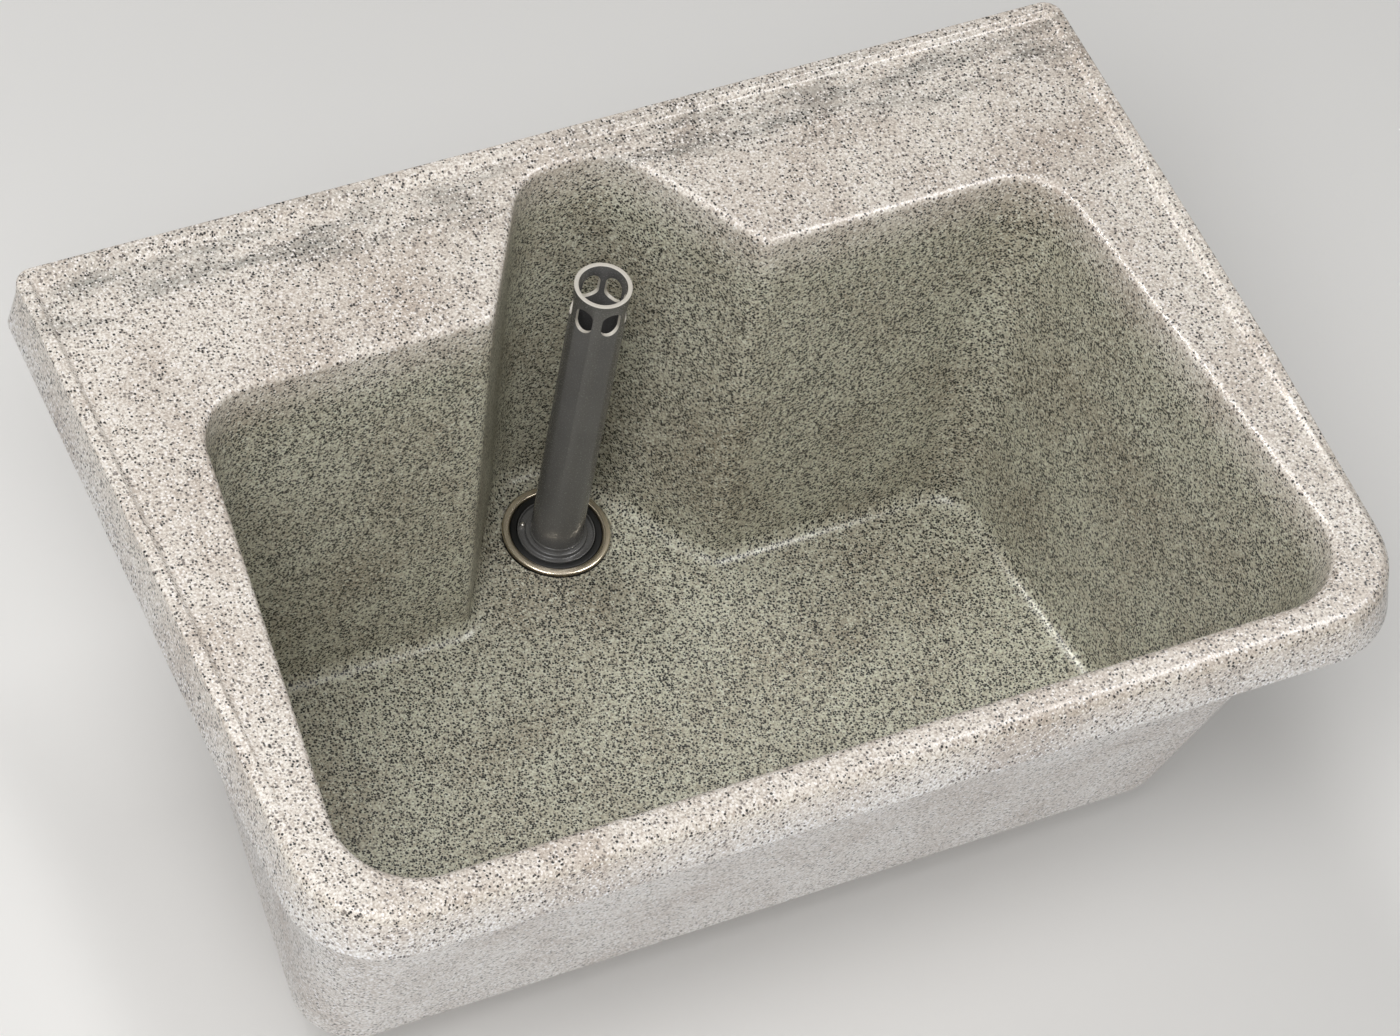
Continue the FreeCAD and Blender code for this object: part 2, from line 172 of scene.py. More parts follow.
def castComposite():
    # polyester resin filled with mineral grains and cast in a mould: pale stone full of fine dark
    # specks, with a satin skin that draws thin bright lines along its rounded edges
    look = compositeLook
    material, tree = newMaterial("castMineralComposite")
    place = addNode(tree, "ShaderNodeTexCoord", {}).outputs["Object"]
    # how far inside the bowl: carries the bowl's painted shade, and its extra dark grains
    inside = addNode(tree, "ShaderNodeAttribute", {"attribute_name": "inside"}).outputs["Fac"]
    outside = addNode(tree, "ShaderNodeAttribute", {"attribute_name": "outside"}).outputs["Fac"]
    rearStreak = rearStreakMarks(tree, place, inside)
    place = addNode(tree, "ShaderNodeMapping", {"Rotation": look["turn"]}, {"Vector": place}).outputs[0]
    lumps = {}
    for key, detail in (("cluster", 2.0), ("patch", 4.0), ("resin", 1.0), ("dimple", 3.0)):
        lumps[key] = addNode(tree, "ShaderNodeTexNoise",
                             {"Scale": perMetre(look[key + "Size"]), "Detail": detail, "Roughness": 0.6},
                             {"Vector": place}).outputs["Fac"]
    grains = grainMasks(tree, place, lumps, inside, outside, rearStreak)
    tones = {}
    for key in ("resin", "patch"):
        low, high = look[key + "Range"]
        tones[key] = addNode(tree, "ShaderNodeMapRange", {"From Min": low, "From Max": high},
                             {"Value": lumps[key]}).outputs[0]
    tone = addNode(tree, "ShaderNodeMix",
                   {"data_type": "RGBA", 6: colour(look["resinDark"]), 7: colour(look["resinPale"])},
                   {0: tones["resin"]}).outputs[2]
    # the bowl's tint is painted shade, multiplied over the inside
    layers = ((tones["patch"], "MULTIPLY", "patch"), (rearStreak, "MULTIPLY", "rearStreak"),
              (grains["pale"], "MIX", "paleGrain"), (grains["grey"], "MIX", "greyGrain"),
              (grains["dark"], "MIX", "darkGrain"), (inside, "MULTIPLY", "paintedBowlShade"),
              (outside, "MULTIPLY", "outsideTint"))
    for amount, blend, key in layers:
        tone = addNode(tree, "ShaderNodeMix",
                       {"data_type": "RGBA", "blend_type": blend, 7: colour(look[key])},
                       {0: amount, 6: tone}).outputs[2]
    # the skin is a little duller over the dark grains, and finely dimpled
    satin, dull = look["roughness"]
    dullness = addNode(tree, "ShaderNodeMapRange", {"To Min": satin, "To Max": dull},
                       {"Value": grains["dark"]})
    relief = addNode(tree, "ShaderNodeBump", {"Strength": 0.3, "Distance": look["dimpleDepth"] * mm},
                     {"Height": lumps["dimple"]})
    finishMaterial(tree, {"IOR": 1.5},
                   {"Base Color": tone, "Roughness": dullness.outputs[0], "Normal": relief.outputs[0]})
    return material


rearStreakLook = {                     # dark streaks on the deck along the rear bead
    "start": (-64.0, -30.0),     # mm in Y, from where they begin to where they are full
    "end": (-20.0, -8.0),        # and from where they fade on the bead
    "left": 0.35,                # to what is left of them there
    "level": (-9.0, -3.0),       # mm in Z, so that the niche's back stays clear
    "size": 14.0,                # mm
    "stretch": 0.22,             # long in X
    "range": (0.42, 0.66),
    "strength": 0.85,
}


def rearStreakMarks(tree, place, inside):
    # dark streaks on the deck in front of the rear bead
    look = rearStreakLook
    parts = addNode(tree, "ShaderNodeSeparateXYZ", {}, {"Vector": place})
    stretched = addNode(tree, "ShaderNodeMapping", {"Scale": (look["stretch"], 1.0, 1.0)},
                        {"Vector": place})
    lumps = addNode(tree, "ShaderNodeTexNoise",
                    {"Scale": perMetre(look["size"]), "Detail": 3.0, "Roughness": 0.6},
                    {"Vector": stretched.outputs[0]})
    # what is read, the unit and ends of its range, what it becomes there, and how it goes between
    steps = ((parts.outputs["Y"], mm, look["start"], (0.0, 1.0), "SMOOTHSTEP"),
             (parts.outputs["Y"], mm, look["end"], (1.0, look["left"]), "SMOOTHSTEP"),
             (parts.outputs["Z"], mm, look["level"], (0.0, 1.0), "LINEAR"),
             (lumps.outputs["Fac"], 1, look["range"], (0.0, look["strength"]), "LINEAR"))
    shares = [addNode(tree, "ShaderNodeMapRange",
                      {"From Min": low * unit, "From Max": high * unit, "To Min": first,
                       "To Max": last, "interpolation_type": kind}, {"Value": value}).outputs[0]
              for value, unit, (low, high), (first, last), kind in steps]
    streaks = shares[0]
    for share in shares[1:]:
        streaks = addNode(tree, "ShaderNodeMath", {"operation": "MULTIPLY"},
                          {0: streaks, 1: share}).outputs[0]
    return addNode(tree, "ShaderNodeMath", {"operation": "SUBTRACT", "use_clamp": True},
                   {0: streaks, 1: inside}).outputs[0]


# the smaller materials: two tones, the lumps that mix them in mm, the lumps' detail, and roughness
finishes = {
    "grey": {"tones": ("#5C5B5A", "#6E6D6C"), "lump": 30.0, "detail": 4.0,
             "grain": 0.9, "reliefDepth": 0.03, "roughness": (0.2, 0.32)},
    # the tube's pale edge tones are a painted highlight
    "edgeHighlight": {"tones": ("#C3BEB4", "#E0DACF"), "lump": 0.7, "detail": 3.0, "roughness": 0.3},
    "stainless": {"tones": ("#E9DDC9", "#DDD0BA"), "lineSpacing": 3.1416, "reliefDepth": 0.02,
                  "roughness": (0.26, 0.38)},
    "stud": {"tones": ("#F4F0E9", "#E2DDD4"), "lump": 0.6, "detail": 2.0, "roughness": 0.46},
    "rubber": {"tones": ("#060606", "#0F0F0E"), "lump": 6.0, "detail": 5.0, "roughness": (0.5, 0.72)},
    "polyethylene": {"tones": ("#E6E5DC", "#D9D8CE"), "lump": 8.0, "detail": 3.0, "roughness": 0.42},
    "brass": {"tones": ("#C9A765", "#B08F52"), "lump": 11.0, "detail": 4.0, "roughness": (0.24, 0.42)},
}


def softTones(tree, look):
    # two tones mixed in soft lumps, and the lumps themselves for the skin to follow
    place = addNode(tree, "ShaderNodeTexCoord", {}).outputs["Object"]
    lumps = addNode(tree, "ShaderNodeTexNoise",
                    {"Scale": perMetre(look["lump"]), "Detail": look["detail"], "Roughness": 0.6},
                    {"Vector": place}).outputs["Fac"]
    first, second = [colour(tone) for tone in look["tones"]]
    mixed = addNode(tree, "ShaderNodeMix", {"data_type": "RGBA", 6: first, 7: second}, {0: lumps})
    return mixed.outputs[2], lumps


def mouldedGrey():
    # polypropylene, injection moulded: dark grey, satin, with a soft sheen along the tube
    look = finishes["grey"]
    material, tree = newMaterial("mouldedGreyPolypropylene")
    place = addNode(tree, "ShaderNodeTexCoord", {}).outputs["Object"]
    tone = softTones(tree, look)[0]
    grain = addNode(tree, "ShaderNodeTexNoise",
                    {"Scale": perMetre(look["grain"]), "Detail": 2.0, "Roughness": 0.6},
                    {"Vector": place}).outputs["Fac"]
    satin, dull = look["roughness"]
    dullness = addNode(tree, "ShaderNodeMapRange", {"To Min": satin, "To Max": dull}, {"Value": grain})
    relief = addNode(tree, "ShaderNodeBump", {"Strength": 0.2, "Distance": look["reliefDepth"] * mm},
                     {"Height": grain})
    finishMaterial(tree, {"IOR": 1.49, "Specular IOR Level": 0.75},
                   {"Base Color": tone, "Roughness": dullness.outputs[0], "Normal": relief.outputs[0]})
    return material


def highlightGrey():
    # the same plastic on the tube's cut end and slot walls, paler and duller: a painted highlight, so the
    # end and slots stand out
    look = finishes["edgeHighlight"]
    material, tree = newMaterial("paintedHighlightPolypropylene")
    tone = softTones(tree, look)[0]
    finishMaterial(tree, {"IOR": 1.49, "Roughness": look["roughness"]}, {"Base Color": tone})
    return material


def polishedStainless():
    # 304 stainless, spun and polished: bright and slightly warm, with fine turning lines
    look = finishes["stainless"]
    material, tree = newMaterial("polishedStainless")
    place = addNode(tree, "ShaderNodeTexCoord", {}).outputs["Object"]
    centred = addNode(tree, "ShaderNodeMapping", {"Location": (0.0, -drain["y"] * mm, 0.0)},
                      {"Vector": place})
    # turning lines about 3 mm apart, coarser than the real ones so that they show; unscaled, the
    # pattern repeats every tau / 20 metres
    lines = addNode(tree, "ShaderNodeTexWave",
                    {"wave_type": "RINGS", "rings_direction": "Z",
                     "Scale": perMetre(look["lineSpacing"]) * math.tau / 20,
                     "Distortion": 1.2, "Detail": 2.0}, {"Vector": centred.outputs[0]}).outputs["Fac"]
    satin, dull = look["roughness"]
    dullness = addNode(tree, "ShaderNodeMapRange", {"To Min": satin, "To Max": dull}, {"Value": lines})
    relief = addNode(tree, "ShaderNodeBump", {"Strength": 0.12, "Distance": look["reliefDepth"] * mm},
                     {"Height": lines})
    first, second = [colour(tone) for tone in look["tones"]]
    tone = addNode(tree, "ShaderNodeMix", {"data_type": "RGBA", 6: first, 7: second}, {0: lines})
    finishMaterial(tree, {"Metallic": 1.0}, {"Base Color": tone.outputs[2],
                                              "Roughness": dullness.outputs[0],
                                              "Normal": relief.outputs[0]})
    return material


def tumbledSteel():
    # the stud's steel, tumbled: a pale even gleam that picks it out of the grey foot
    look = finishes["stud"]
    material, tree = newMaterial("tumbledSteel")
    tone = softTones(tree, look)[0]
    finishMaterial(tree, {"Metallic": 1.0, "Roughness": look["roughness"]}, {"Base Color": tone})
    return material


def blackRubber():
    # nitrile rubber, compression moulded: matt black with a faint bloom
    look = finishes["rubber"]
    material, tree = newMaterial("blackNitrileRubber")
    tone, bloom = softTones(tree, look)
    matt, dull = look["roughness"]
    dullness = addNode(tree, "ShaderNodeMapRange", {"To Min": matt, "To Max": dull}, {"Value": bloom})
    finishMaterial(tree, {"IOR": 1.52}, {"Base Color": tone, "Roughness": dullness.outputs[0]})
    return material


def naturalPolyethylene():
    # high-density polyethylene, stamped from sheet: milky white and waxy
    look = finishes["polyethylene"]
    material, tree = newMaterial("naturalPolyethylene")
    tone = softTones(tree, look)[0]
    finishMaterial(tree, {"IOR": 1.54, "Roughness": look["roughness"]}, {"Base Color": tone})
    return material


def machinedBrass():
    # free-cutting brass, turned and left bare: yellow metal with a dull bloom
    look = finishes["brass"]
    material, tree = newMaterial("machinedBrass")
    tone, bloom = softTones(tree, look)
    bright, dull = look["roughness"]
    dullness = addNode(tree, "ShaderNodeMapRange", {"To Min": bright, "To Max": dull}, {"Value": bloom})
    finishMaterial(tree, {"Metallic": 1.0}, {"Base Color": tone, "Roughness": dullness.outputs[0]})
    return material


def insetCorners(corners, distances):
    # corners (x, y, radius) after each side, from its corner to the next, moves in by its distance
    moved = []
    for i, (x, y, radius) in enumerate(corners):
        here = Vector((x, y))
        before = (here - Vector(corners[i - 1][:2])).normalized()
        after = (Vector(corners[(i + 1) % len(corners)][:2]) - here).normalized()
        shift = (after * distances[i - 1] - before * distances[i]) / before.cross(after)
        moved.append((x + shift.x, y + shift.y, radius))
    return moved


def grownCorners(corners, distance):
    # the outline a distance outside, its round corners concentric and never sharper than 1 mm
    moved = insetCorners(corners, [-distance] * len(corners))
    grown = []
    for i, (x, y, radius) in enumerate(moved):
        before = Vector((x, y)) - Vector(moved[i - 1][:2])
        after = Vector(moved[(i + 1) % len(moved)][:2]) - Vector((x, y))
        outward = 1 if before.cross(after) > 0 else -1
        grown.append((x, y, max(radius + outward * distance, 1.0)))
    return grown


def roundedOutline(corners, steps, cuts=0):
    # closed line of points: an arc spun at each corner, then points along the straight after it
    arcs = []
    for i, (x, y, radius) in enumerate(corners):
        here = Vector((x, y, 0))
        before = (here - Vector((*corners[i - 1][:2], 0))).normalized()
        after = (Vector((*corners[(i + 1) % len(corners)][:2], 0)) - here).normalized()
        turn = math.atan2(before.cross(after).z, before.dot(after))
        if radius == 0:
            arcs.append([here])
            continue
        start = here - before * radius * math.tan(abs(turn) / 2)
        centre = start + Vector((-before.y, before.x, 0)) * math.copysign(radius, turn)
        path = bmesh.new()
        bmesh.ops.spin(path, geom=[path.verts.new(start)], cent=centre, axis=(0, 0, 1),
                       angle=turn, steps=steps)
        arcs.append([vertex.co.copy() for vertex in path.verts])
        path.free()
    points = []
    for i, arc in enumerate(arcs):
        nextStart = arcs[(i + 1) % len(arcs)][0]
        points += arc + [arc[-1].lerp(nextStart, (k + 1) / (cuts + 1)) for k in range(cuts)]
    return points


def atHeight(points, z):
    return [Vector((point.x, point.y, z)) for point in points]


def startRing(mesh, points):
    tag = mesh.verts.layers.int.get("tag") or mesh.verts.layers.int.new("tag")
    ring = [mesh.verts.new(point) for point in points]
    for i, vertex in enumerate(ring):
        vertex[tag] = i
        mesh.edges.new((ring[i - 1], vertex))
    return ring


def nextRing(mesh, ring, points):
    # extrudes the ring and puts each new vertex on its point
    tag = mesh.verts.layers.int["tag"]
    made = bmesh.ops.extrude_edge_only(mesh, edges=ringEdges(mesh, ring))["geom"]
    fresh = [item for item in made if isinstance(item, bmesh.types.BMVert)]
    fresh.sort(key=lambda vertex: vertex[tag])
    for vertex, point in zip(fresh, points):
        vertex.co = point
    return fresh


def ringEdges(mesh, ring):
    return [mesh.edges.get((ring[i - 1], ring[i])) for i in range(len(ring))]


def fillBetween(mesh, rings, normal):
    edges = [edge for ring in rings for edge in ringEdges(mesh, ring)]
    bmesh.ops.triangle_fill(mesh, use_beauty=True, edges=edges, normal=normal)


def bevelEdges(mesh, edges, width, segments):
    bmesh.ops.bevel(mesh, geom=edges, offset=width, offset_type="OFFSET", segments=segments,
                    profile=0.5, affect="EDGES", material=-1, clamp_overlap=True)


def newObject(name, mesh, material):
    # the bmesh becomes an object in the scene
    data = bpy.data.meshes.new(name)
    mesh.to_mesh(data)
    mesh.free()
    data.materials.append(material)
    made = bpy.data.objects.new(name, data)
    bpy.context.scene.collection.objects.link(made)
    return made


def finishPiece(name, mesh, material, body, nodes, sharpAngle=40):
    # millimetres to metres, smooth faces with sharp edges kept, then onto its body
    bmesh.ops.remove_doubles(mesh, verts=mesh.verts, dist=0.001)
    bmesh.ops.recalc_face_normals(mesh, faces=mesh.faces)
    bmesh.ops.scale(mesh, vec=(mm, mm, mm), verts=mesh.verts)
    for face in mesh.faces:
        face.smooth = True
    for edge in mesh.edges:
        edge.smooth = edge.calc_face_angle(0) < math.radians(sharpAngle)
    tag = mesh.verts.layers.int.get("tag")
    if tag:
        mesh.verts.layers.int.remove(tag)
    piece = newObject(name, mesh, material)
    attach(piece, body)
    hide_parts(*nodes)
    print("made", name, len(piece.data.polygons), "faces")
    return piece


drain = {"y": -90.0, "z": -292.0}     # mm, the outlet's axis and the floor's height at it

basin = {
    "width": 700.0, "depth": 490.0,
    "lipHeight": 35.0, "wall": 8.0,
    "rearRadius": 12.0, "frontRadius": 58.0,
    "noseRadius": 8.0, "flare": 4.0, "flareStart": 9.0,
    "beadHeight": 3.5, "beadCrown": 7.5, "beadFoot": 11.0, "beadRound": 1.6, "footRound": 3.0,
    "beadFade": 140.0,
    "rimStart": 13.5,         # where the rim's rings begin, inside the bead's foot
    "lipRound": 2.5, "lipInnerRound": 1.5, "hollowRound": 1.5,
    "frontMargin": 26.0, "rearMargin": 120.0,
    "sideMarginFront": 30.0, "sideMarginRear": 70.5,
    "openingFrontRadius": 47.0, "openingRearRadius": 38.0,
    "edgeWidth": 4.6,         # flat width that the rounding of the opening's edge takes
    "edgeMargin": 7.0,        # ring on the deck round the opening
    "nicheMouth": 179.0, "nicheBack": 62.0, "nicheMargin": 23.5,
    "mouthRadius": 12.0, "nicheRadius": 40.0, "nicheFloorRadius": 31.0,
    "loftDepth": 308.0,
    "frontDraft": 14.5, "sideDraft": 4.6, "rearDraft": 4.3, "nicheDraft": 3.0,
    "floorFrontRadius": 28.0, "floorRearRadius": 30.0,
    "floorSlope": 1.0,
    "floorRound": 10.0, "floorMargin": 12.0,      # rounding along the floor, and the ring inside it
    "outerRound": 17.5, "outerMargin": 20.5,
    "ledgeRadius": 36.2, "ledgeDepth": 2.5,
    "pocketRadius": 32.2, "pocketDepth": 10.0,
    "holeRadius": 25.0,
    "bossRadius": 46.0, "bossFoot": 43.0, "bossDepth": 18.0,
    "bossRound": 1.5, "bossBlend": (0.3, 0.5),    # round of its end, and how it runs into the floor
    "outletRound": 0.4,
    "underMargin": 2.5, "underRound": 2.0,        # outer face of the bowl where it meets the ledge
    # the two tints begin this far below the rim, and come in over the fade; the inside one is painted shade
    "tintStart": 1.0, "outsideStart": 4.0, "tintFade": 30.0,
    "facingWall": 0.2, "facingFloor": 0.3,        # how far an inside face turns to the middle, or up
    "cornerSteps": 16, "sideCuts": 27, "beadSteps": 4, "lipSteps": 4, "hollowSteps": 3,
    "circleSteps": 96, "wallRows": 7, "wallCuts": 5, "roundSegments": 8,
}


def lipCorners():
    half = basin["width"] / 2
    return [(-half, -basin["depth"], basin["frontRadius"]), (half, -basin["depth"], basin["frontRadius"]),
            (half, 0.0, basin["rearRadius"]), (-half, 0.0, basin["rearRadius"])]


def openingCorners():
    # bowl and niche, anticlockwise from the front left corner
    front = -basin["depth"] + basin["frontMargin"]
    rear, nicheRear = -basin["rearMargin"], -basin["nicheMargin"]
    halfFront = basin["width"] / 2 - basin["sideMarginFront"]
    halfRear = basin["width"] / 2 - basin["sideMarginRear"]
    mouth, back = basin["nicheMouth"] / 2, basin["nicheBack"] / 2
    return [(-halfFront, front, basin["openingFrontRadius"]),
            (halfFront, front, basin["openingFrontRadius"]),
            (halfRear, rear, basin["openingRearRadius"]), (mouth, rear, basin["mouthRadius"]),
            (back, nicheRear, basin["nicheRadius"]), (-back, nicheRear, basin["nicheRadius"]),
            (-mouth, rear, basin["mouthRadius"]), (-halfRear, rear, basin["openingRearRadius"])]


def footCorners():
    # the opening's outline at the foot of its drafted walls
    front, side, rear, niche = [
        basin["loftDepth"] * math.tan(math.radians(basin[draft]))
        for draft in ("frontDraft", "sideDraft", "rearDraft", "nicheDraft")]
    moved = insetCorners(openingCorners(), [front, side, rear, niche, niche, niche, rear, side])
    radii = [basin["floorFrontRadius"]] * 2 + [basin["floorRearRadius"], basin["mouthRadius"]]
    radii += [basin["nicheFloorRadius"]] * 2 + [basin["mouthRadius"], basin["floorRearRadius"]]
    return [(x, y, radius) for (x, y, _), radius in zip(moved, radii)]


def floorHeight(y, drop):
    # the floor falls to the rear; drop is 0 for the inner face and the wall for the outer one
    return drain["z"] - drop + (drain["y"] - y) * math.tan(math.radians(basin["floorSlope"]))


def onFloor(points, drop):
    return [Vector((point.x, point.y, floorHeight(point.y, drop))) for point in points]


def wallShare(top, bottom, drop):
    # the part of the loft's depth at which a line of the drafted wall meets the sloping floor
    slope = math.tan(math.radians(basin["floorSlope"]))
    return floorHeight(top.y, drop) / (-basin["loftDepth"] + (bottom.y - top.y) * slope)


def rimProfiles():
    # the same number of points for the bead and for the plain nose: (inset, height)
    crown = basin["beadHeight"]
    start = basin["rimStart"]
    low = -basin["flareStart"]
    steps = basin["beadSteps"]
    bead = roundedOutline([(start, 0, 0), (basin["beadFoot"], 0, basin["footRound"]),
                           (basin["beadCrown"], crown, basin["beadRound"]),
                           (0, crown, basin["beadRound"]), (0, low, 0)], steps)
    nose = basin["noseRadius"]
    count = steps + 1
    flat = [Vector((start + (nose - start) * k / count, 0, 0)) for k in range(count)]
    arc = roundedOutline([(start, 0, 0), (0, 0, nose), (0, low - nose, 0)], 2 * count)[1:-1]
    plain = flat + arc + [Vector((0, low, 0))]
    return list(zip(bead, plain))


def quarterRound(radius, steps):
    # how far each point of a quarter round is from the two faces that it joins
    angles = [math.radians(90 * k / steps) for k in range(steps + 1)]
    return [(radius * (1 - math.cos(angle)), radius * (1 - math.sin(angle))) for angle in angles]


def rimShell(mesh):
    # deck edge, bead and nose, flaring lip, and back up inside it; returns the first and last ring
    lip = lipCorners()
    deck = insetCorners(lip, [basin["flare"], basin["flare"], 0, basin["flare"]])

    def line(corners, inset):
        return roundedOutline(grownCorners(corners, -inset), basin["cornerSteps"], basin["sideCuts"])

    edge = line(deck, 0)
    fadeEnd = -basin["depth"] + basin["frontRadius"]
    beadShare = [min(max((point.y - fadeEnd) / basin["beadFade"], 0), 1) for point in edge]
    rings = []
    for bead, plain in rimProfiles():
        beadLine = atHeight(line(deck, bead.x), bead.y)
        plainLine = atHeight(line(deck, plain.x), plain.y)
        rings.append([low.lerp(high, share) for low, high, share in zip(plainLine, beadLine, beadShare)])
    lipEnd = -basin["lipHeight"]
    lipTop = atHeight(edge, -basin["flareStart"])
    lipLow = atHeight(line(lip, 0), lipEnd + basin["lipRound"])
    rings.append([high.lerp(low, 0.5) for high, low in zip(lipTop, lipLow)])
    for across, up in quarterRound(basin["lipRound"], basin["lipSteps"]):
        rings.append(atHeight(line(lip, across), lipEnd + up))
    for up, across in quarterRound(basin["lipInnerRound"], basin["hollowSteps"]):
        rings.append(atHeight(line(deck, basin["wall"] - across), lipEnd + up))
    for across, down in quarterRound(basin["hollowRound"], basin["hollowSteps"]):
        rings.append(atHeight(line(deck, basin["wall"] + across), -basin["wall"] - down))
    first = last = startRing(mesh, rings[0])
    for points in rings[1:]:
        last = nextRing(mesh, last, points)
    return first, last


def bowlShell(mesh, thickness, topZ, margin, floorMargin):
    # one face of the bowl's wall: ring on the flat, edge, drafted wall, floor edge, ring on the floor;
    # hands back its first and last ring, and the two edges that are rounded later
    top = grownCorners(openingCorners(), thickness)
    bottom = grownCorners(footCorners(), thickness)
    steps, cuts = basin["cornerSteps"], basin["wallCuts"]
    topLine = roundedOutline(top, steps, cuts)
    bottomLine = roundedOutline(bottom, steps, cuts)
    shares = [wallShare(high, low, thickness) for high, low in zip(topLine, bottomLine)]
    first = startRing(mesh, atHeight(roundedOutline(grownCorners(top, margin), steps, cuts), topZ))
    startShare = -topZ / basin["loftDepth"]
    ring = first
    edges = []
    for row in range(basin["wallRows"] + 1):
        part = row / basin["wallRows"]
        points = []
        for high, low, share in zip(topLine, bottomLine, shares):
            level = startShare + (share - startShare) * part
            points.append(Vector((*high.lerp(low, level).xy, -basin["loftDepth"] * level)))
        ring = nextRing(mesh, ring, points)
        if part in (0, 1):
            edges.append(ringEdges(mesh, ring))
    level = sum(shares) / len(shares)
    floorCorners = [(hx + (lx - hx) * level, hy + (ly - hy) * level, hr + (lr - hr) * level)
                    for (hx, hy, hr), (lx, ly, lr) in zip(top, bottom)]
    inner = roundedOutline(grownCorners(floorCorners, -floorMargin), steps, cuts)
    last = nextRing(mesh, ring, onFloor(inner, thickness))
    return first, last, edges


def circle(radius, z=None, drop=0.0):
    # ring of points about the outlet's axis, level at a height or lying on the sloping floor
    points = []
    for k in range(basin["circleSteps"]):
        angle = 2 * math.pi * k / basin["circleSteps"]
        x = radius * math.cos(angle)
        y = drain["y"] + radius * math.sin(angle)
        points.append(Vector((x, y, floorHeight(y, drop) if z is None else drain["z"] + z)))
    return points


def outletShell(mesh):
    # ledge, pocket, hole and boss: one strip of rings through the floor
    ledge, pocket, hole = basin["ledgeRadius"], basin["pocketRadius"], basin["holeRadius"]
    ledgeLow, pocketLow, bossLow = -basin["ledgeDepth"], -basin["pocketDepth"], -basin["bossDepth"]
    soft, bossRound = basin["outletRound"], basin["bossRound"]
    bossFoot, bossRadius = basin["bossFoot"], basin["bossRadius"]
    blendOut, blendDown = basin["bossBlend"]
    wall = basin["wall"]
    profile = [(ledge, -soft), (ledge, ledgeLow + soft), (ledge - soft, ledgeLow),
               (pocket + soft, ledgeLow), (pocket, ledgeLow - soft),
               (pocket, pocketLow + soft), (pocket - soft, pocketLow),
               (hole + soft, pocketLow), (hole, pocketLow - soft),
               (hole, bossLow + soft), (hole + soft, bossLow),
               (bossFoot - bossRound, bossLow), (bossFoot - soft, bossLow + soft),
               (bossFoot, bossLow + bossRound), (bossRadius - blendOut, -wall - bossRound),
               (bossRadius + blendOut, -wall - blendDown)]
    first = last = startRing(mesh, circle(ledge + soft))
    for radius, height in profile:
        last = nextRing(mesh, last, circle(radius, height))
    last = nextRing(mesh, last, circle(bossRadius + bossRound, None, wall))
    return first, last


def makeBasin(material):
    mesh = bmesh.new()
    rimFirst, rimLast = rimShell(mesh)
    bowlFirst, bowlLast, bowlEdges = bowlShell(mesh, 0.0, 0.0, basin["edgeMargin"], basin["floorMargin"])
    outerFirst, outerLast, outerEdges = bowlShell(
        mesh, basin["wall"], -basin["wall"], basin["underMargin"], basin["outerMargin"])
    outletFirst, outletLast = outletShell(mesh)
    fillBetween(mesh, (rimFirst, bowlFirst), (0, 0, 1))
    fillBetween(mesh, (rimLast, outerFirst), (0, 0, -1))
    fillBetween(mesh, (bowlLast, outletFirst), (0, 0, 1))
    fillBetween(mesh, (outerLast, outletLast), (0, 0, -1))
    segments = basin["roundSegments"]
    bevelEdges(mesh, bowlEdges[0], basin["edgeWidth"], segments)
    bevelEdges(mesh, bowlEdges[1], basin["floorRound"], segments)
    bevelEdges(mesh, outerEdges[0], basin["underRound"], segments // 2)
    bevelEdges(mesh, outerEdges[1], basin["outerRound"], segments)
    paintZones(mesh)
    piece = finishPiece("basin_shell", mesh, material, "basin", ["sink_basin"])
    flats = piece.modifiers.new("flats", "WEIGHTED_NORMAL")
    flats.keep_sharp = True


def paintZones(mesh):
    # two attributes the composite reads: how far inside the bowl, where the painted shade goes, and how far
    # down the outside
    bmesh.ops.recalc_face_normals(mesh, faces=mesh.faces)
    inside = mesh.verts.layers.float.new("inside")
    outside = mesh.verts.layers.float.new("outside")
    for vertex in mesh.verts:
        toCentre = Vector((0, -basin["depth"] / 2, 0)) - vertex.co
        facesCentre = vertex.normal.xy.dot(toCentre.xy.normalized()) > basin["facingWall"]
        depth = -vertex.co.z
        share = min(max((depth - basin["tintStart"]) / basin["tintFade"], 0), 1)
        if (facesCentre or vertex.normal.z > basin["facingFloor"]) and depth > basin["tintStart"]:
            vertex[inside] = share
        elif depth > basin["outsideStart"]:
            vertex[outside] = share


def spunMesh(corners, steps=96, roundSteps=4):
    # turns a closed profile (radius, height above the floor, corner radius) about the outlet's axis
    mesh = bmesh.new()
    axis = Vector((0, drain["y"], drain["z"]))
    points = roundedOutline(corners, roundSteps)
    verts = [mesh.verts.new(axis + Vector((point.x, 0, point.y))) for point in points]
    edges = [mesh.edges.new((verts[i - 1], verts[i])) for i in range(len(verts))]
    bmesh.ops.spin(mesh, geom=verts + edges, cent=axis, axis=(0, 0, 1), angle=2 * math.pi,
                   steps=steps, use_merge=True)
    return mesh


def combine(piece, tool, operation):
    # boolean of two closed pieces, applied; the tool goes
    modifier = piece.modifiers.new("combine", "BOOLEAN")
    modifier.operation = operation
    modifier.solver = "EXACT"
    modifier.material_mode = "TRANSFER"
    modifier.object = tool
    whole = piece.evaluated_get(bpy.context.evaluated_depsgraph_get())
    data = bpy.data.meshes.new_from_object(whole)
    piece.modifiers.clear()
    piece.data = data
    bpy.data.objects.remove(tool)


def toolObject(name, mesh, material):
    # a closed piece that only cuts or joins another one
    bmesh.ops.recalc_face_normals(mesh, faces=mesh.faces)
    bmesh.ops.scale(mesh, vec=(mm, mm, mm), verts=mesh.verts)
    return newObject(name, mesh, material)


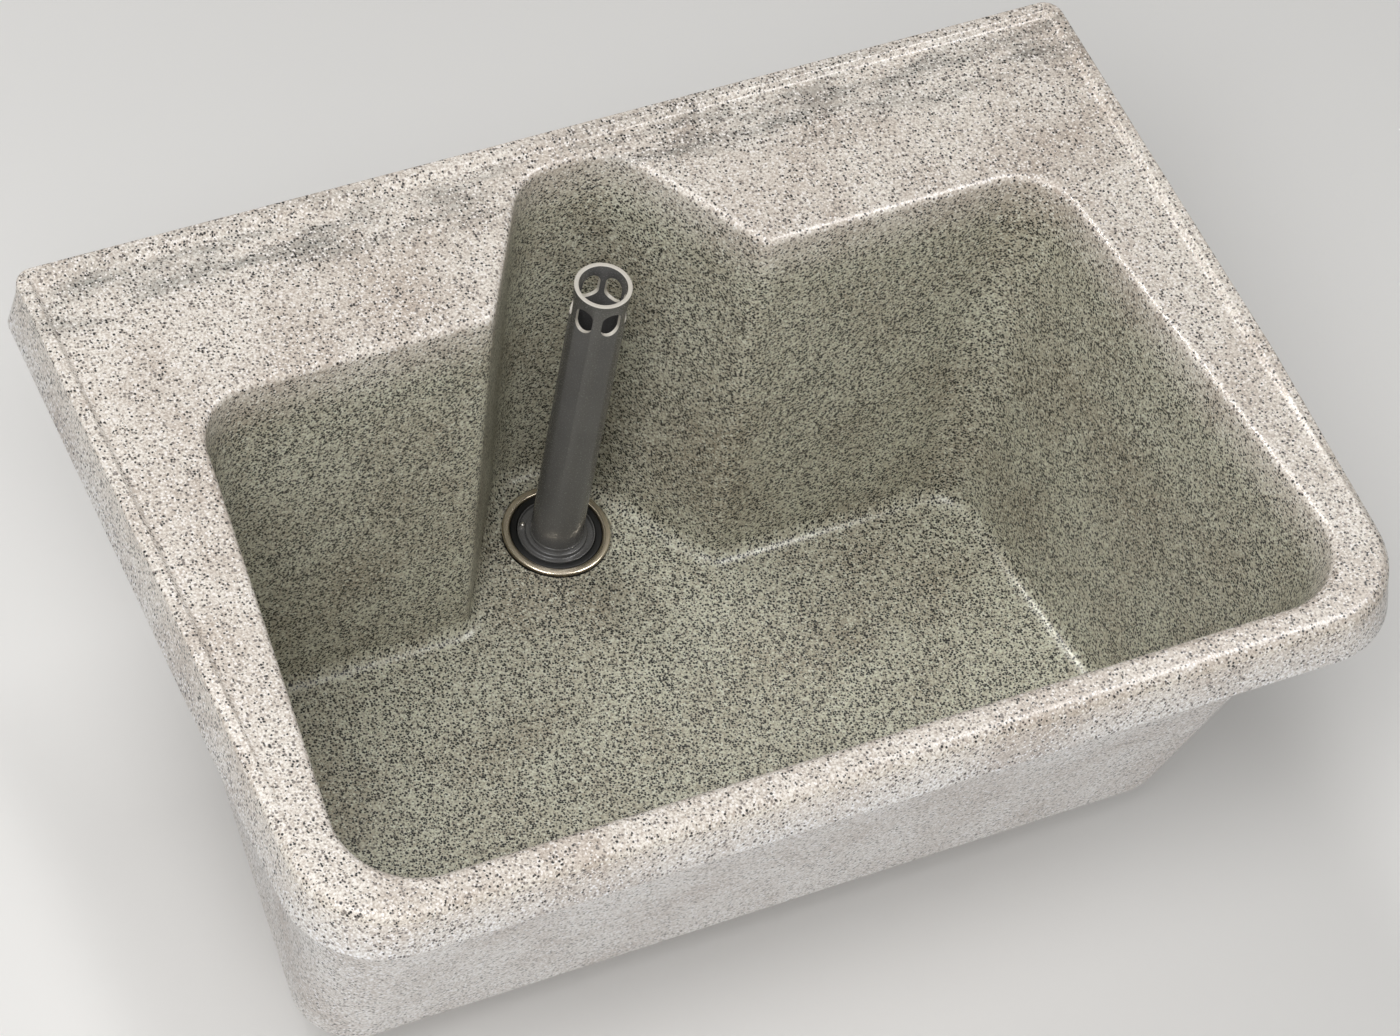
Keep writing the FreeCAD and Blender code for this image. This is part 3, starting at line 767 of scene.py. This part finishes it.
waste = {
    "outer": 35.0, "dish": 30.0, "top": 2.0, "seat": -0.5, "land": -7.1, "metal": 1.6,
    "pitchRadius": 23.16, "crest": 23.9, "root": 22.42, "bore": 20.5,
    "nutLow": -33.0, "end": -62.7,
    "threadPitch": 2.309,     # G 1 1/2, 11 turns to the inch
    "rowsPerTurn": 8, "leadIn": 1.6,
    "barWidth": 3.5, "barHeight": 4.0, "barLift": 20.0, "barRound": 0.5,
    "barSegments": 3,
    "crownRound": 1.1, "dishRound": 1.2, "boreRound": 0.6, "edgeRound": 0.3,
    "seatRound": 0.4, "bellyRound": 1.5,
    "steps": 120,
}


def makeWaste(material):
    # rim ring, dish, threaded shank and the cross of bars in its bore
    top, land, low = waste["top"], waste["land"], waste["land"] - waste["metal"]
    threadTop = waste["nutLow"] - waste["leadIn"]
    rowHeight = waste["threadPitch"] / waste["rowsPerTurn"]
    rowCount = int((threadTop - waste["end"] - waste["leadIn"]) / rowHeight)
    rows = [(waste["pitchRadius"], threadTop - k * rowHeight, 0) for k in range(rowCount)]
    dishOuter = waste["dish"] + waste["metal"]
    dish = [(waste["bore"], land, waste["boreRound"]), (waste["dish"], land, waste["dishRound"]),
            (waste["dish"], top, waste["crownRound"]), (waste["outer"], top, waste["crownRound"]),
            (waste["outer"], waste["seat"], waste["edgeRound"]),
            (dishOuter, waste["seat"], waste["seatRound"]), (dishOuter, low, waste["bellyRound"]),
            (waste["pitchRadius"], low, waste["boreRound"])]
    tail = [(waste["root"], waste["end"] + waste["leadIn"] / 2, 0), (waste["root"], waste["end"], 0),
            (waste["bore"], waste["end"], waste["edgeRound"])]
    mesh = spunMesh(dish + rows + tail, steps=waste["steps"])
    cutThread(mesh, threadTop, threadTop - rowCount * rowHeight)
    piece = finishPiece("waste_body", mesh, material, "basin", ["waste_flange"], sharpAngle=50)
    for turn in (0, math.pi / 2):
        bar = bmesh.new()
        bmesh.ops.create_cube(bar, size=1)
        length = 2 * waste["bore"] + waste["metal"]
        bmesh.ops.scale(bar, vec=(length, waste["barWidth"], waste["barHeight"]), verts=bar.verts)
        bevelEdges(bar, bar.edges[:], waste["barRound"], waste["barSegments"])
        bmesh.ops.rotate(bar, matrix=Matrix.Rotation(turn, 3, "Z"), verts=bar.verts)
        lift = drain["z"] + waste["end"] + waste["barLift"] + waste["barHeight"] / 2
        bmesh.ops.translate(bar, vec=(0, drain["y"], lift), verts=bar.verts)
        combine(piece, toolObject("bar", bar, material), "UNION")
    print("waste has", len(piece.data.polygons), "faces")


def cutThread(mesh, high, low):
    # moves the shank's rows in and out along a helix, fading at both ends of the thread
    depth = waste["crest"] - waste["pitchRadius"]
    slack = 0.1              # mm
    for vertex in mesh.verts:
        x, y, z = vertex.co.x, vertex.co.y - drain["y"], vertex.co.z - drain["z"]
        radius = math.hypot(x, y)
        if radius < waste["root"] - slack or not low < z <= high:
            continue
        turns = z / waste["threadPitch"] + math.atan2(y, x) / (2 * math.pi)
        fade = min((high - z) / waste["leadIn"], (z - low) / waste["leadIn"], 1)
        share = 1 + fade * depth * math.cos(2 * math.pi * turns) / radius
        vertex.co.x *= share
        vertex.co.y = drain["y"] + y * share


seal = {
    "bore": 20.8, "outer": 29.7, "cup": 25.3, "low": -7.1, "seat": -5.1, "top": 1.0,
    "boreRound": 0.3, "lowRound": 0.5, "topRound": 1.2, "lipRound": 0.8, "innerRound": 0.4,
}


def makeSeal(material):
    # cup-shaped ring with soft edges, black between the dish and the foot
    mesh = spunMesh(
        [(seal["bore"], seal["low"], seal["boreRound"]), (seal["outer"], seal["low"], seal["lowRound"]),
         (seal["outer"], seal["top"], seal["topRound"]), (seal["cup"], seal["top"], seal["lipRound"]),
         (seal["cup"], seal["seat"], seal["innerRound"]),
         (seal["bore"], seal["seat"], seal["innerRound"])])
    finishPiece("seal_ring", mesh, material, "seal_ring", ["foot_seal"], sharpAngle=60)


foot = {
    "outer": 25.0, "lipInner": 24.1, "top": 1.5, "channel": -1.5, "seat": -5.1,
    "collar": 19.9, "socket": 16.9, "pipeSeat": -3.5, "bore": 14.4,
    "spigot": 20.0, "spigotEnd": -27.1,
    "socketRound": 0.2, "mouthRound": 0.3, "collarRound": 0.8, "channelRound": 0.9,
    "lipRound": 0.35, "rimRound": 0.6, "spigotRound": 0.8,
}


def makeFoot(material):
    # disc with a raised lip, a channel, the tube's collar and the hollow spigot that seals the waste
    top, channel, seat, end = foot["top"], foot["channel"], foot["seat"], foot["spigotEnd"]
    mesh = spunMesh(
        [(foot["bore"], foot["pipeSeat"], foot["socketRound"]),
         (foot["socket"], foot["pipeSeat"], foot["socketRound"]),
         (foot["socket"], top, foot["mouthRound"]), (foot["collar"], top, foot["collarRound"]),
         (foot["collar"], channel, foot["channelRound"]),
         (foot["lipInner"], channel, foot["channelRound"]),
         (foot["lipInner"], top, foot["lipRound"]), (foot["outer"], top, foot["lipRound"]),
         (foot["outer"], seat, foot["rimRound"]), (foot["spigot"], seat, foot["spigotRound"]),
         (foot["spigot"], end, foot["spigotRound"]), (foot["bore"], end, foot["rimRound"])])
    finishPiece("pipe_foot", mesh, material, "standpipe", ["standpipe_foot"], sharpAngle=60)


tube = {
    "baseRadius": 16.8, "topRadius": 17.4, "wall": 2.4,
    "seat": -3.5, "foot": 1.5, "top": 252.0,
    "bead": 0.45, "beadHeight": 2.2,
    "endRound": 0.2, "beadRound": 0.4, "neckRound": 0.3, "topRound": 0.5,
    "highlightHeight": 0.3,        # how much of the tube's top takes the pale painted highlight
    "slotCount": 6, "slotWidth": 12.0, "slotHeight": 20.0, "slotMiddle": 233.5, "slotAngle": 30.0,
    "slotSteps": 12, "slotEdge": 0.3, "slotEdgeAngle": 55.0,
    "steps": 120,
}


def slotCutter(material):
    # six upright cutters with round ends, in one mesh
    mesh = bmesh.new()
    radius = tube["slotWidth"] / 2
    half = tube["slotHeight"] / 2
    corners = [(-radius, -half, radius), (radius, -half, radius), (radius, half, radius),
               (-radius, half, radius)]
    outline = roundedOutline(corners, tube["slotSteps"])
    inner, outer = tube["topRadius"] / 2, tube["topRadius"] * 1.5
    for k in range(tube["slotCount"]):
        angle = math.radians(tube["slotAngle"]) + 2 * math.pi * k / tube["slotCount"]
        out = Vector((math.cos(angle), math.sin(angle), 0))
        side = Vector((-out.y, out.x, 0))
        base = Vector((0, drain["y"], drain["z"] + tube["slotMiddle"]))
        verts = [mesh.verts.new(base + out * inner + side * point.x + Vector((0, 0, point.y)))
                 for point in outline]
        verts = [vertex for i, vertex in enumerate(verts) if (vertex.co - verts[i - 1].co).length > 0.01]
        face = mesh.faces.new(verts)
        moved = bmesh.ops.extrude_face_region(mesh, geom=[face])["geom"]
        bmesh.ops.translate(mesh, vec=out * (outer - inner),
                            verts=[item for item in moved if isinstance(item, bmesh.types.BMVert)])
    loose = [vertex for vertex in mesh.verts if not vertex.link_faces]
    bmesh.ops.delete(mesh, geom=loose, context="VERTS")
    return toolObject("slot_cutter", mesh, material)


def makeTube(material, edgeHighlight):
    # tapered tube with a bead at each end and six overflow slots
    base, upper, bead = tube["baseRadius"], tube["topRadius"], tube["bead"]
    beadTop = tube["foot"] + tube["beadHeight"]
    beadLow = tube["top"] - tube["beadHeight"]
    endRound, beadRound = tube["endRound"], tube["beadRound"]
    neckRound, topRound = tube["neckRound"], tube["topRound"]
    mesh = spunMesh(
        [(base - tube["wall"], tube["seat"], endRound), (base, tube["seat"], endRound),
         (base, tube["foot"], 0), (base + bead, tube["foot"], endRound),
         (base + bead, beadTop, beadRound), (base, beadTop, neckRound),
         (upper, beadLow, neckRound), (upper + bead, beadLow, beadRound),
         (upper + bead, tube["top"], topRound), (upper - tube["wall"], tube["top"], topRound)],
        steps=tube["steps"])
    # faces at the tube's top take the second material, the painted highlight
    for face in mesh.faces:
        face.normal_update()
        height = face.calc_center_median().z - drain["z"]
        face.material_index = 1 if height > tube["top"] - tube["highlightHeight"] else 0
    piece = finishPiece("pipe_tube", mesh, material, "standpipe", ["standpipe_tube"],
                        sharpAngle=60)
    piece.data.materials.append(edgeHighlight)
    # the slot walls take the painted highlight material from the cutter
    combine(piece, slotCutter(edgeHighlight), "DIFFERENCE")
    edge = piece.modifiers.new("slotEdge", "BEVEL")
    edge.limit_method = "ANGLE"
    edge.angle_limit = math.radians(tube["slotEdgeAngle"])
    edge.width = tube["slotEdge"] * mm
    edge.segments = 2
    print("tube has", len(piece.data.polygons), "faces")


stud = {
    "angle": 146.0,           # degrees round the outlet's axis, anticlockwise from the right
    "shank": 1.0, "head": 1.75, "low": -3.3, "seat": -1.5, "top": 1.5,
    "lowRound": 0.2, "headEdge": 0.25, "headRound": 1.4,
    "steps": 32, "roundSteps": 6,
}


def makeStud(material):
    # small bright round head on the foot, left of the tube
    angle = math.radians(stud["angle"])
    middle = (foot["collar"] + foot["lipInner"]) / 2
    mesh = spunMesh(
        [(0, stud["low"], 0), (stud["shank"], stud["low"], stud["lowRound"]),
         (stud["shank"], stud["seat"], 0), (stud["head"], stud["seat"], stud["headEdge"]),
         (stud["head"], stud["top"], stud["headRound"]), (0, stud["top"], 0)],
        steps=stud["steps"], roundSteps=stud["roundSteps"])
    bmesh.ops.translate(mesh, vec=(middle * math.cos(angle), middle * math.sin(angle), 0), verts=mesh.verts)
    finishPiece("round_stud", mesh, material, "standpipe", ["foot_stud"], sharpAngle=60)


studio = {
    "floor": "#F5F4F2",
    "floorHalf": 9.0,         # metres
    "floorGap": 2.0,          # mm below the lowest point
    "world": "#FBFAF8",
    "worldStrength": 0.25,
}

# point lit, direction to the lamp, distance and size in metres, radiant power in watts
lamps = {
    "keySoftbox": {"at": (0.05, -0.2, -0.1), "from": (-0.41, -0.36, 0.84), "distance": 3.4,
                   "size": (1.4, 1.4), "power": 53.0},
    "frontFill": {"at": (0.0, -0.23, -0.1), "from": (-0.35, -0.85, 0.39), "distance": 2.6,
                  "size": (1.6, 1.6), "power": 16.0},
    "rearStrip": {"at": (0.15, -0.2, 0.0), "from": (-0.15, 0.36, 0.92), "distance": 2.3,
                  "size": (0.3, 1.0), "power": 13.0},
    # seen only as reflections: they draw the bright lines along rounded edges and creases
    "leftGleam": {"at": (0.33, -0.24, -0.1), "from": (-0.56, 0.31, 0.765), "distance": 2.3,
                  "size": (0.8, 0.8), "power": 1.1, "spread": 15.0, "gleam": True},
    "topGleam": {"at": (0.2, -0.13, -0.28), "from": (0.35, -0.20, 0.90), "distance": 1.2,
                 "size": (0.5, 0.5), "power": 9.5, "gleam": True},
}

photoCamera = {             # fitted to the photograph's rim, opening, floor and tube
    "target": (0.008827, -0.230062, -0.1),
    "azimuth": -35.041, "elevation": 52.746, "roll": 12.821,
    "distance": 3.236866,
    "lens": 139.17,         # mm, on a sensor 36 mm wide
}


def setStage():
    scene = bpy.context.scene
    scene.view_settings.view_transform = "Standard"
    world = bpy.data.worlds.new("softRoom")
    scene.world = world
    world.use_nodes = True
    background = world.node_tree.nodes["Background"]
    background.inputs["Color"].default_value = colour(studio["world"])
    background.inputs["Strength"].default_value = studio["worldStrength"]
    # matt paper, pale and without reflections
    floorMaterial, tree = newMaterial("paperSweep")
    finishMaterial(tree, {"Base Color": colour(studio["floor"]), "Roughness": 0.9,
                          "Specular IOR Level": 0.2}, {})
    mesh = bmesh.new()
    bmesh.ops.create_grid(mesh, x_segments=1, y_segments=1, size=studio["floorHalf"])
    low = cadBounds[0][2] - studio["floorGap"] * mm
    bmesh.ops.translate(mesh, vec=(0, 0, low), verts=mesh.verts)
    newObject("floor_sweep", mesh, floorMaterial)
    print("stage set")


def setLamps():
    for name, lamp in lamps.items():
        target = Vector(lamp["at"])
        data = bpy.data.lights.new(name, "AREA")
        data.shape = "RECTANGLE"
        data.size, data.size_y = lamp["size"]
        data.energy = lamp["power"]
        light = bpy.data.objects.new(name, data)
        light.visible_diffuse = not lamp.get("gleam", False)
        light.visible_camera = False
        if "spread" in lamp:
            data.spread = math.radians(lamp["spread"])
        light.location = target + Vector(lamp["from"]).normalized() * lamp["distance"]
        light.rotation_euler = (target - light.location).to_track_quat("-Z", "Y").to_euler()
        bpy.context.scene.collection.objects.link(light)
    print("lamps set")


def setCamera():
    azimuth, elevation, roll = [math.radians(photoCamera[key]) for key in ("azimuth", "elevation", "roll")]
    back = Vector((math.sin(azimuth) * math.cos(elevation), -math.cos(azimuth) * math.cos(elevation),
                   math.sin(elevation)))
    right = Vector((0, 0, 1)).cross(back).normalized()
    up = back.cross(right)
    sideways = right * math.cos(roll) + up * math.sin(roll)
    upward = up * math.cos(roll) - right * math.sin(roll)
    data = bpy.data.cameras.new("photoCamera")
    data.lens = photoCamera["lens"]
    camera = bpy.data.objects.new("photoCamera", data)
    turn = Matrix((sideways, upward, back)).transposed().to_4x4()
    camera.matrix_world = Matrix.Translation(Vector(photoCamera["target"])
                                             + back * photoCamera["distance"]) @ turn
    bpy.context.scene.collection.objects.link(camera)
    bpy.context.scene.camera = camera
    print("camera set")


composite = castComposite()
grey = mouldedGrey()
stainless = polishedStainless()
rubber = blackRubber()
polyethylene = naturalPolyethylene()
brass = machinedBrass()

nodeMaterials = {
    "flange_gasket": rubber, "under_washer": rubber,
    "slip_washer": polyethylene, "backnut": brass,
}
for node, material in nodeMaterials.items():
    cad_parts[node].data.materials.clear()
    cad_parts[node].data.materials.append(material)
print("materials set on", len(nodeMaterials), "nodes of the CAD")

makeBasin(composite)
makeWaste(stainless)
makeSeal(rubber)
makeFoot(grey)
makeTube(grey, highlightGrey())
makeStud(tumbledSteel())
setStage()
setLamps()
setCamera()
